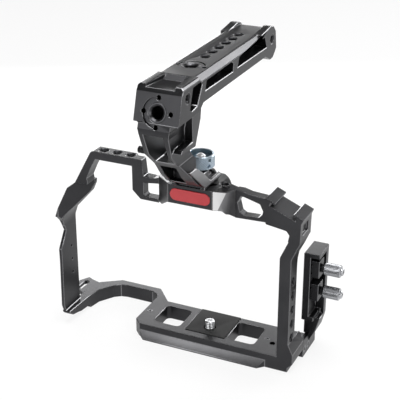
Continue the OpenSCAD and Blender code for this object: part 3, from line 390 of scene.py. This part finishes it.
thread_dark = worked_surface("anodised_aluminium_thread", "#3c3c3e", "#4a4a4c", 0.95, 0.3, 0.3, 0.005)
threads = [(x, bar_y, bar_bottom, up, bar_top - bar_bottom) for x in bar_xs]
threads += [(side_inner, side_y, z, right, side_outer - side_inner) for z in side_zs]
threads.append((block_x, block_y, block_bottom, up, block_top - block_bottom))
tapped("cage_threads", threads, "cage", thread_dark)

# Handle: the grip and its leg are milled from one piece of aluminium and finished like the frame.
# The foot below it holds the frame's rail. The wide chamfer along the grip's right edge is drawn lighter, a
# painted highlight.
grip_ys, grip_bottom, grip_top = [-8.8 + 10.3 * i for i in range(6)], 176.5, 193
end_ys, end_z, grip_half = [-63.0, 65.55], 185.575, 14.3
mouths = [(0, y, grip_top, up) for y in grip_ys] + [(0, y, grip_bottom, down) for y in grip_ys]
mouths += [(grip_half, y, end_z, right) for y in end_ys] + [(-grip_half, y, end_z, left) for y in end_ys]


def handle_finish(x, y, z, normal):
    # Painted highlight: the wide chamfer, where the light falls, gets the lighter finish.
    wide_chamfer = x > 8 and z > 180 and y > -60 and normal.x > 0.3 and 0.3 < normal.z < 0.95
    return painted_face_highlight if wide_chamfer else anodised


handle = framed("handle_frame", ["handle_grip", "handle_leg", "handle_foot"], mouths, [anodised, painted_face_highlight],
    handle_finish)
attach(handle, "handle")
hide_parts("handle_grip", "handle_leg", "handle_foot")
threads = [(0, y, grip_bottom, up, grip_top - grip_bottom) for y in grip_ys]
threads += [(-grip_half, y, end_z, right, 2 * grip_half) for y in end_ys]
tapped("handle_threads", threads, "handle", thread_dark)

# Thread inserts: steel, blackened nearly as dark as the handle, pressed in and threaded inside.
# One is in the grip's top and one in its front face, which leans. A three eighths inch thread has
# 16 turns to the inch, 1.5875 mm each.
insert_steel = worked_surface("black_oxide_steel_insert", "#3c3c3e", "#48484a", 1.0, 0.3, 0.4, 0.008)
insert_bore_r, insert_r, insert_deep, insert_pitch = 4.0, 5.8, 6.0, 1.5875
top_hole_y, front_hole_z = -28.6, 178.6
front_foot_y, front_foot_z, tilt = -75, 172.4, math.radians(16.6)
front_y = (front_hole_z - front_foot_z) * math.tan(tilt) + front_foot_y
profile = steps(insert_bore_r, -insert_deep, -0.9, 0.26)
profile += [(4.9, 0.0), (5.5, 0.0), (insert_r, -0.25), (insert_r, -insert_deep)]
relief = inner_thread(insert_bore_r, insert_pitch, 0.4)
places = [along(0, top_hole_y, grip_top, up),
    along(0, front_y, front_hole_z, (0, -math.cos(tilt), math.sin(tilt)))]
inserts = gathered("locating_inserts", [turned("insert", profile, 64, place, relief, insert_steel)
    for place in places])
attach(inserts, "handle")
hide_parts("thread_inserts")

# Cable clamp: milled aluminium. The bracket and the foot are finished like the frame they are fixed to,
# and the two jaws are dyed black, with a satin sheen.
clamp_black = worked_surface("anodised_aluminium_black", "#262628", "#303032", 0.8, 0.38, 0.35, 0.02)


def milled(name, node, material, width_mm, edge_material, **edges):
    """One CAD solid in its finish, with broken edges."""
    piece = joined(name, [node])
    clean(piece)
    piece.data.materials.append(material)
    return break_edges(piece, width_mm, edge_material, **edges)


for node, body in [("cable_bracket", "cage"), ("bracket_foot", "cage"), ("upper_jaw", "jaw_upper"),
        ("lower_jaw", "jaw_lower")]:
    piece = milled(node + "_milled", node, clamp_black if "jaw" in node else anodised, 0.3, chamfer)
    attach(piece, body)
    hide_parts(node)

# Thumbscrews: turned steel, nickel plated, with a threaded shank, a black knurled collar, a ribbed body
# and a bright end cap. The marks of turning are drawn 0.3 mm wide, coarser than real ones.
steel = worked_surface("nickel_plated_steel_turned", "#a9aaad", "#babbbe", 1.0, 0.3, 0.3, 0.01)
ribbed = worked_surface("nickel_plated_steel_ribbed", "#8c8d90", "#9a9b9e", 1.0, 0.36, 0.3, 0.01)
thumb_x, thumb_y = 65.3, 16.0
shank_r, collar_r, body_r = 1.5, 2.87, 4.1
shank_pitch, collar_ribs, body_ribs = 0.5, 28, 36


def thumbscrew_relief(angle, radius, height):
    """Ribs along the body, a fine knurl on the collar and a thread on the shank."""
    if 9.2 < height < 19.0 and radius > 4.0:
        return -0.22 * abs(math.sin(angle * body_ribs / 2)) ** 3
    if 6.3 < height < 8.6 and radius > 2.8:
        return -0.18 * abs(math.sin(angle * collar_ribs / 2)) ** 2
    if height < 6.2 and radius < 1.55:
        return -0.14 * helix(angle, height, shank_pitch)
    return 0


def thumbscrew_finish(x, y, z, normal):
    reach_x = x - thumb_x
    return ribbed if 8.9 < reach_x < 19.2 else clamp_black if 6.2 < reach_x < 8.7 else steel


profile = [(0, 0), (1.3, 0)] + steps(shank_r, 0.2, 6.1, 0.125) + [(2.5, 6.2), (collar_r, 6.5)]
profile += steps(collar_r, 6.6, 8.4, 0.3) + [(3.6, 8.7), (4.0, 9.0), (body_r, 9.3)]
profile += steps(body_r, 9.4, 18.8, 1.0) + [(3.9, 19.3), (3.5, 19.5), (2.7, 19.5), (2.46, 19.6),
    (2.46, 20.6), (2.2, 21.0), (1.0, 21.0), (1.0, 18.6), (0, 18.4)]
for z, node, body in [(54.0, "upper_thumbscrew", "thumb_upper"), (37.3, "lower_thumbscrew", "thumb_lower")]:
    screw = turned(node + "_turned", profile, 144, along(thumb_x, thumb_y, z, right), thumbscrew_relief)
    finish_faces(screw, [steel, ribbed, clamp_black], thumbscrew_finish)
    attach(screw, body)
    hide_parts(node)

# Camera screw: turned steel, chrome plated, bright and nearly smooth, with a quarter inch thread.
# It is turned from below by its slotted head, which lies in the underside of the base.
chrome = worked_surface("chrome_plated_steel", "#c4c5c7", "#d4d5d7", 0.95, 0.3, 0.6, 0.004)
screw_r, neck_r, head_r, head_bottom, thread_top = 3.175, 2.7, 7.0, -10, 5.3
slot_reach, slot_half, slot_floor, slot_below = 9, 0.8, -8.3, -12


def camera_screw_relief(angle, radius, height):
    if 3.1 < radius < 3.3 and 0.3 < height < thread_top:
        return -0.3 * helix(angle, height, quarter_pitch)
    return 0


def cut(piece, cutter):
    """Takes the cutter's form out of a piece."""
    boolean(piece, "DIFFERENCE", cutter)
    settle(piece)
    bpy.data.objects.remove(cutter)


slot = bpy.data.objects.new("slot", bpy.data.meshes.new("slot"))
bpy.context.collection.objects.link(slot)
slot.data.from_pydata([(x * slot_reach * MM, y * slot_half * MM, z * MM) for z in (slot_below, slot_floor)
    for x, y in ((-1, -1), (1, -1), (1, 1), (-1, 1))], [], [(3, 2, 1, 0), (4, 5, 6, 7), (0, 1, 5, 4),
    (1, 2, 6, 5), (2, 3, 7, 6), (3, 0, 4, 7)])
profile = [(0, head_bottom), (6.5, head_bottom), (head_r, -9.5), (head_r, -7.0), (6.7, -6.6),
    (neck_r, -6.6), (neck_r, 0), (2.75, 0.1)] + steps(screw_r, 0.15, thread_top, 0.14)
profile += [(2.6, 5.7), (1.5, 5.7), (1.3, thread_top), (0, 5.2)]
screw = turned("camera_screw_threaded", profile, 72, relief=camera_screw_relief, material=chrome)
cut(screw, slot)
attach(screw, "screw")
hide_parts("camera_screw")

# Set screws and foot screws: black oxide steel with hexagon sockets, their rims drawn bright: worn metal
# and a painted glint.
# The set screws stand flush in the base, the foot screws hold the cable clamp to the frame.
socket_steel = worked_surface("black_oxide_steel_socket", "#4a4a4c", "#5c5c5e", 1.0, 0.3, 0.3, 0.01)
for node in ("base_set_screws", "foot_screws"):
    # The bright plated rims are partly a painted glint.
    piece = milled(node + "_socketed", node, socket_steel, 0.12, steel, fine=1.0)
    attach(piece, "cage")
    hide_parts(node)

# Knob: zinc plated steel, bluish and satin, with a diamond knurl, a hollow top and two small bores in its
# side. It turns on the stud, whose domed head is polished and drawn near white, a painted highlight in the
# hollow.
knob_steel = worked_surface("zinc_plated_steel_knurled", "#a0afbc", "#c4d2dd", 0.9, 0.3, 0.3, 0.01)
# Painted shade: the knob's hollow top gets a darker copy of its plating.
knob_painted_shade = worked_surface("zinc_plated_steel_hollow_painted_shade", "#93a6b2", "#a3b6c2", 0.9, 0.35, 0.3, 0.01)
knob_x, knob_y, knob_z = 3.6, -22.7, 128.3
knob_r, knob_top, hollow_r, hollow_floor, stud_hole_r = 8.7, 8.4, 7.1, 5.0, 2.58
diamonds, diamond_mm, knurl_deep = 34, 1.6, 0.45
bore_r, bore_reach, bore_places = 1.25, 8.5, ((math.radians(-24), 5.9), (math.radians(-30), 2.3))


def knurl(angle, radius, height):
    if radius < 8.6 or not 0.7 < height < 7.5:
        return 0
    around, rise = angle * diamonds / (2 * math.pi), height / diamond_mm
    a, b = (around + rise) % 1.0, (around - rise) % 1.0
    return -knurl_deep * max(abs(2 * a - 1), abs(2 * b - 1)) ** 3


def knob_finish(x, y, z, normal):
    # The hollow top gets the darker copy of the plating: painted shade.
    hollow = math.hypot(x - knob_x, y - knob_y) < 7.2 and z - knob_z > 4.5
    return knob_painted_shade if hollow else knob_steel


profile = [(stud_hole_r, 0), (7.9, 0), (8.4, 0.3)] + steps(knob_r, 0.6, 7.6, 0.17)
profile += [(8.4, 8.15), (8.0, knob_top), (7.4, knob_top), (hollow_r, 8.1), (hollow_r, 5.2),
    (6.9, hollow_floor), (stud_hole_r, hollow_floor)]
knob = turned("clamp_knob_knurled", profile, 320, along(knob_x, knob_y, knob_z), knurl, knob_steel)
bores = gathered("bores", [turned("bore", [(0, -2.2), (bore_r, -2.2), (bore_r, 1.0), (0, 1.0)], 24,
    along(knob_x + bore_reach * math.cos(a), knob_y + bore_reach * math.sin(a), knob_z + h,
        (math.cos(a), math.sin(a), 0))) for a, h in bore_places])
cut(knob, bores)
finish_faces(knob, [knob_steel, knob_painted_shade], knob_finish)
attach(knob, "knob")
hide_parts("clamp_knob")
# Painted highlight: the stud's domed head is drawn near white, for the glint on its polish.
polished_with_painted_glint = worked_surface("nickel_plated_steel_polished_painted_glint", "#f4f4f5", "#fbfbfc", 0.5, 0.3, 0.6, 0.002)
stud_r, stud_foot, stud_neck_top = 2.5, 123.8, 133.6
profile = [(0, stud_foot), (2.3, stud_foot), (stud_r, 124.1), (stud_r, stud_neck_top), (3.1, stud_neck_top),
    (3.3, 133.8), (3.3, 134.2), (3.0, 134.9), (2.4, 135.6), (1.6, 136.1), (0.8, 136.35), (0, 136.4)]
stud = turned("clamp_stud_domed", profile, 64, along(knob_x, knob_y, 0), material=polished_with_painted_glint)
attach(stud, "handle")
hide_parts("clamp_stud")

# Boss on the leg's left side: a turned pin of black oxide steel with a groove near its end.
# The finish is dull and nearly black.
black_steel = worked_surface("black_oxide_steel", "#161617", "#1e1e20", 0.6, 0.4, 0.3, 0.01)
boss_x, boss_y, boss_z = -11.2, -66.18, 151.8135
boss_r, groove_r, boss_end = 2.1, 1.8, 4.5
profile = [(0, 0), (boss_r, 0), (boss_r, 2.6), (groove_r, 2.8), (groove_r, 3.2), (boss_r, 3.4),
    (boss_r, 4.1), (1.7, boss_end), (0, boss_end)]
boss = turned("leg_boss_turned", profile, 40, along(boss_x, boss_y, boss_z, left), material=black_steel)
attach(boss, "handle")
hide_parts("leg_boss")

# Movable jaw: aluminium, dyed black, with its outer face and edges cut bare again, which leaves them pale.
# It slides on two steel pins, which keep their CAD mesh: they lie hidden between the jaw and the foot.
bare = worked_surface("bare_aluminium_blasted", "#8a8a8c", "#9a9a9c", 0.9, 0.38, 0.3, 0.02)


def jaw_finish(x, y, z, normal):
    return bare if normal.x > 0.9 and x > 12 else clamp_black


jaw = joined("clamp_jaw_milled", ["clamp_jaw"])
clean(jaw)
finish_faces(jaw, [clamp_black, bare], jaw_finish)
break_edges(jaw, 0.3, bare)
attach(jaw, "jaw")
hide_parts("clamp_jaw")
nodes["jaw_guide_pins"].data.materials.clear()
nodes["jaw_guide_pins"].data.materials.append(steel)

# Badge plate: aluminium with a satin red enamel, pressed into its recess and left bare.
# Its edges are drawn darker, with some of the metal showing through.
red = worked_surface("red_enamel_satin", "#c8353c", "#d03f46", 0.0, 0.38, 0.6, 0.01)
red_edge = worked_surface("red_enamel_edge", "#a03036", "#b03a40", 0.3, 0.3, 0.6, 0.01)
badge = milled("badge_plate", "name_plate", red, 0.15, red_edge, fine=1.0)
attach(badge, "cage")
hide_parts("name_plate")

# Pad: moulded rubber with rounded edges, glued into its pocket.
# The mould leaves it matt, with a grain of half a millimetre.
rubber = worked_surface("rubber_moulded", "#1f1f1f", "#272727", 0.0, 0.85, 0.5, 0.04)
pad = milled("pad_moulded", "base_pad", rubber, 0.25, rubber, segments=3, fine=0.6)
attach(pad, "cage")
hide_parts("base_pad")

# Floor and light: a plain white floor with a low white wall far around it. A large soft lamp hangs
# overhead, weaker ones stand in front, right and behind, and a low card behind lights the base plate.
floor_z = cad_box[0][2]
floor = bpy.data.objects.new("floor", bpy.data.meshes.new("floor"))
bpy.context.collection.objects.link(floor)
reach, rise, sides, glow_share = 12.0, 2.6, 64, 0.85
rim = [2 * math.pi * i / sides for i in range(sides)]
points = [(reach * math.cos(a), reach * math.sin(a), floor_z + h) for h in (0, rise) for a in rim]
wall = [(i, (i + 1) % sides, sides + (i + 1) % sides, sides + i) for i in range(sides)]
floor.data.from_pydata(points, [], [tuple(range(sides))] + wall)
paper, tree = new_material("white_paper_sweep")
seen = add(tree, "ShaderNodeLightPath", {}, {})
looks = add(tree, "ShaderNodeMath", {"operation": "ADD"}, {0: seen.outputs["Is Camera Ray"],
    1: seen.outputs["Is Glossy Ray"]})
looks = add(tree, "ShaderNodeMath", {"operation": "ADD", "use_clamp": True}, {0: looks.outputs[0],
    1: seen.outputs["Is Transmission Ray"]})
share = add(tree, "ShaderNodeMath", {"operation": "MULTIPLY", 1: glow_share}, {0: looks.outputs[0]})
matt = add(tree, "ShaderNodeBsdfDiffuse", {"Color": srgb("#f4f4f4")}, {})
glow = add(tree, "ShaderNodeEmission", {"Color": srgb("#ffffff"), "Strength": 1.0}, {})
mixed = add(tree, "ShaderNodeMixShader", {}, {"Fac": share.outputs[0], 1: matt.outputs[0],
    2: glow.outputs[0]})
add(tree, "ShaderNodeOutputMaterial", {}, {"Surface": mixed.outputs[0]})
floor.data.materials.append(paper)

world = bpy.data.worlds.new("studio")
bpy.context.scene.world = world
world.use_nodes = True
tree = world.node_tree
tree.nodes.clear()
dim = add(tree, "ShaderNodeBackground", {"Color": srgb("#ffffff"), "Strength": 0.15}, {})
add(tree, "ShaderNodeOutputWorld", {}, {"Surface": dim.outputs[0]})


def soft_lamp(name, place, target, size, power):
    """A flat lamp, in metres and watts, turned to its target."""
    lamp = bpy.data.objects.new(name, bpy.data.lights.new(name, "AREA"))
    lamp.data.shape = "RECTANGLE"
    lamp.data.size, lamp.data.size_y = size
    lamp.data.energy = power
    lamp.location = place
    lamp.rotation_euler = (Vector(target) - Vector(place)).to_track_quat("-Z", "Y").to_euler()
    bpy.context.collection.objects.link(lamp)


soft_lamp("top_softbox", (0.0, 0.0, 1.3), (0, 0, 0.1), (0.9, 0.7), 16)
soft_lamp("front_fill", (-0.55, -1.3, 0.38), (0, 0, 0.15), (0.7, 0.4), 3)
soft_lamp("right_strip", (1.2, -0.5, 0.6), (0, 0, 0.1), (0.4, 0.7), 4)
soft_lamp("back_strip", (0.55, 1.05, 0.68), (0, 0, 0.15), (0.5, 0.35), 5)
soft_lamp("low_back_card", (-0.27, 0.50, 0.18), (0, -0.03, 0.0), (0.7, 0.18), 2.6)

scene = bpy.context.scene
scene.view_settings.view_transform = "Standard"
bpy.context.view_layer.update()
